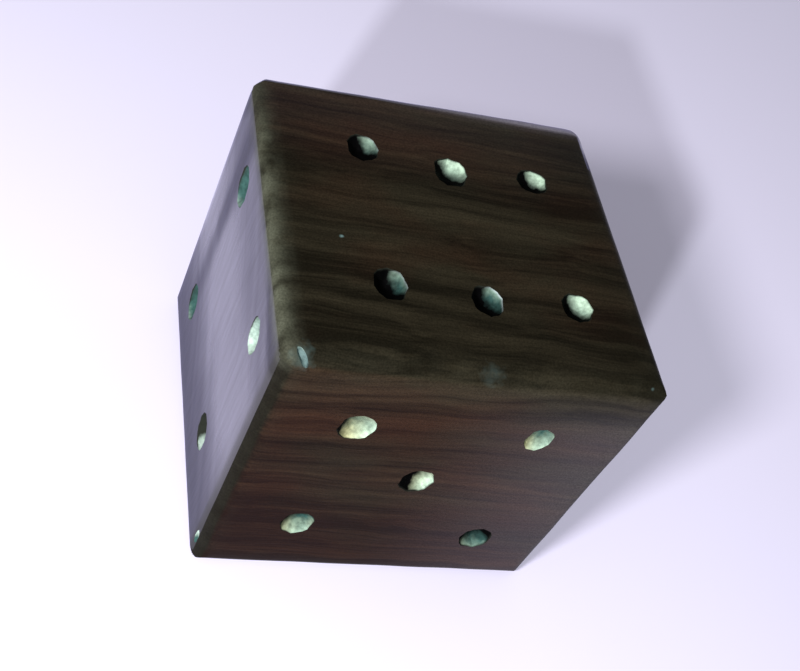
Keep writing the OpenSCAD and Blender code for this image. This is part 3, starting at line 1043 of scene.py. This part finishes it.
def red_values(points, front):
    """The front is redder, most at its foot and on its left, the rest more olive, the left end most."""
    along, towards_back, upward = place_in_block(points)
    on_front = 0.6 - 0.25 * upward - 0.2 * along
    elsewhere = 0.25 + 0.2 * towards_back
    return on_front * front + elsewhere * (1 - front) - 0.5 * beside(points, LEFT, 4, 1)


def load_values(points, front):
    """The brush was loaded at the foot and the left of the front, and near the edges elsewhere."""
    along, towards_back, upward = place_in_block(points)
    on_front = 0.33 - 0.5 * upward - 0.35 * along
    on_front += 0.6 * smooth(0.4, 0.95, upward) * smooth(0, 0.9, along)
    near_ends = 0.45 * smooth(0.3, 1, along) + 0.4 * smooth(0.2, 1, -along)
    elsewhere = 0.25 + near_ends + 0.5 * smooth(0.3, 1, -towards_back)
    left_end = 0.6 * beside(points, LEFT, 5, 2) * (1 - beside(points, TOP, TURN_WIDE, 0))
    loaded = on_front * front + elsewhere * (1 - front) + left_end
    for signs, reach in POOLED.items():
        away = np.linalg.norm(points - half * np.array(signs), axis=1)
        loaded += POOLED_LOAD * (1 - smooth(0, reach, away))
    return loaded


def painted_sheen_values(points, front):
    """Painted sheen for the mirrored floor: on the right of the front, below its top edge, and along the
    back and right top edges.
    """
    along, towards_back, upward = place_in_block(points)
    on_front = 0.12 * smooth(-0.2, 1.1, along) * (1 - 0.9 * smooth(0.5, 0.95, upward))
    elsewhere = 0.02 * smooth(0.2, 1, towards_back)
    # Along the back and right top edges the painted sheen is a painted highlight.
    back_edge = 0.6 * smooth(-0.4, 0.9, along) * beside(points, BACK, 5, 2.5)
    right_edge = 0.3 * smooth(0.2, 0.9, towards_back) * beside(points, RIGHT, 3, 1)
    on_edges = beside(points, TOP, 5, 3) * (back_edge + right_edge)
    return on_front * front + elsewhere * (1 - front) + on_edges


# %% Rubbing of the thick varnish
# A stripe up the left end: its distance from the middle towards the back, and its width.
STRIPE_AT, STRIPE_WIDE = 24.5, 4
# Above a line that slants up to the back, the left end is dull at its front corner: the line's height above
# the foot at the middle, and its slope.
SLANT_AT, SLANT = 93.3, 0.3


def rubbed_values(points):
    """Dull on the left end, low down, in a stripe and at the top, and on the crests of two top edges."""
    y, z = points[:, 1], points[:, 2] + half[2]
    low_and_high = 0.8 * (1 - smooth(0, 50, z)) + 0.25 * smooth(55, 76, z)
    across_stripe = np.exp(-((y - STRIPE_AT) / STRIPE_WIDE) ** 2)
    stripe = (0.3 + 0.3 * smooth(35, 65, z)) * across_stripe * smooth(14, 28, z)
    top_edge = 0.6 * beside(points, TOP, 5, 1)
    far_corner = 1 - smooth(4, 14, np.hypot(y - half[1], z - size[2]))
    near_corner = smooth(-4, 2, z - SLANT_AT - SLANT * y) * (1 - smooth(-22, -8, y))
    on_left = low_and_high + stripe + top_edge + far_corner + near_corner
    right = beside(points, RIGHT, 6, 2) * (1 - smooth(BARE_EDGE_MM, BARE_EDGE_MM + 10, y))
    back = 0.45 * beside(points, BACK, 5, 2) * smooth(-0.3, 0.8, place_in_block(points)[0])
    return beside(points, LEFT, 6, 2) * on_left + beside(points, TOP, 6, 2) * (right + back)


def point_values(mesh):
    """Gives each point its wear with a painted highlight, redness, load of the brush, painted sheen and
    rubbing.
    """
    points = np.array([vertex.co for vertex in mesh.vertices]) / MM - middle
    front = beside(points, FRONT, 0.8, 0.1)
    values = {
        "worn": wear_and_highlight_values(points), "red": red_values(points, front),
        "loaded": load_values(points, front), "painted_sheen": painted_sheen_values(points, front),
        "rubbed": rubbed_values(points),
    }
    for name, numbers in values.items():
        attribute = mesh.attributes.new(name, "FLOAT", "POINT")
        attribute.data.foreach_set("value", numbers.astype(np.float32))
    return values["worn"]


worn = point_values(die.data)
print("share of points worn:", round(float((worn > 0.5).mean()), 3))


# %% Paint in the pits
def paint_values(from_place, mark):
    """What the paint, with its painted shade and highlight, is like at each point of one pit, given from
    its place in mm.
    """
    right, upward, out = mark["axes"]
    width, _, depth = mark["size"]
    bare_and_shaded_side = math.radians(mark["bare_and_shaded_side"])
    towards = right * math.cos(bare_and_shaded_side) + upward * math.sin(bare_and_shaded_side)
    # How far each point lies towards the wall that the brush missed, the wall turned from the lamps, how
    # far aside, and how deep.
    reach = from_place @ towards / (width / 2)
    side = from_place @ np.cross(towards, out) / (width / 2)
    deep = -(from_place @ out) / depth
    lip = 1 - smooth(0.0, 0.15, deep)
    on_end = abs(out[0])

    # Teal is partly painted shade: it grows deeper in the pit, towards the bare wall, and across the pit by
    # an amount set for each face.
    tilt = -0.35 * out[1] - 0.25 * out[2] + 0.3 * on_end
    teal_and_shade = mark["teal_and_shade"] + 0.5 * (deep - 0.4) + tilt * side + 0.3 * np.maximum(reach, 0)
    thin = np.clip(teal_and_shade, 0, 1)
    # On the top the paint at the rim is made nearly white, a painted highlight, and on the other faces it
    # is taken off at the rim, leaving a dark ring of bare stain as painted shade.
    rim_highlight = lip * max(out[2], 0) * thin
    return {
        "dab_and_shade": 1 - 2 * mark["share"] - reach - 0.6 * (lip - rim_highlight),
        "teal_and_shade": teal_and_shade,
        "warm": np.clip(0.9 * reach + 0.2 - 0.6 * out[1], 0, 1) * (1 - on_end),
        "white_and_highlight": rim_highlight + mark["white_and_highlight"] + 0.35 * on_end * (1 - thin),
        "shallow": np.maximum(lip, on_end),
    }


def pit_paint_and_shade_values(mesh, paint_slot):
    """Gives each face corner in a pit its paint and painted shade, by the nearest mark, and those elsewhere
    nought.
    """
    points = np.array([vertex.co for vertex in mesh.vertices]) / MM
    places = np.array([mark["place"] for mark in marks])
    nearest = np.linalg.norm(points[:, None] - places[None], axis=2).argmin(1)
    values = {}
    for k, mark in enumerate(marks):
        mine = nearest == k
        for name, numbers in paint_values(points[mine] - mark["place"], mark).items():
            values.setdefault(name, np.zeros(len(points)))[mine] = numbers
    corners = np.zeros(len(mesh.loops), int)
    mesh.loops.foreach_get("vertex_index", corners)
    painted = np.zeros(len(mesh.loops), bool)
    for face in mesh.polygons:
        if face.material_index == paint_slot:
            painted[face.loop_start:face.loop_start + face.loop_total] = True
    for name, numbers in values.items():
        attribute = mesh.attributes.new(name, "FLOAT", "CORNER")
        attribute.data.foreach_set("value", np.where(painted, numbers[corners], 0).astype(np.float32))
    return painted


painted = pit_paint_and_shade_values(die.data, die.data.materials.find(paint.name))
print("face corners in pits:", int(painted.sum()), "of", len(painted))

# %% Smooth shading
# Two faces that meet at more than this angle keep a crease.
CREASE_DEGREES = 38
die.data.shade_smooth()
die.data.set_sharp_from_angle(angle=math.radians(CREASE_DEGREES))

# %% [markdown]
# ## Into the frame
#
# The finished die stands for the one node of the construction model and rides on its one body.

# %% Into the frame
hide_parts("die")
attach(die, "root")
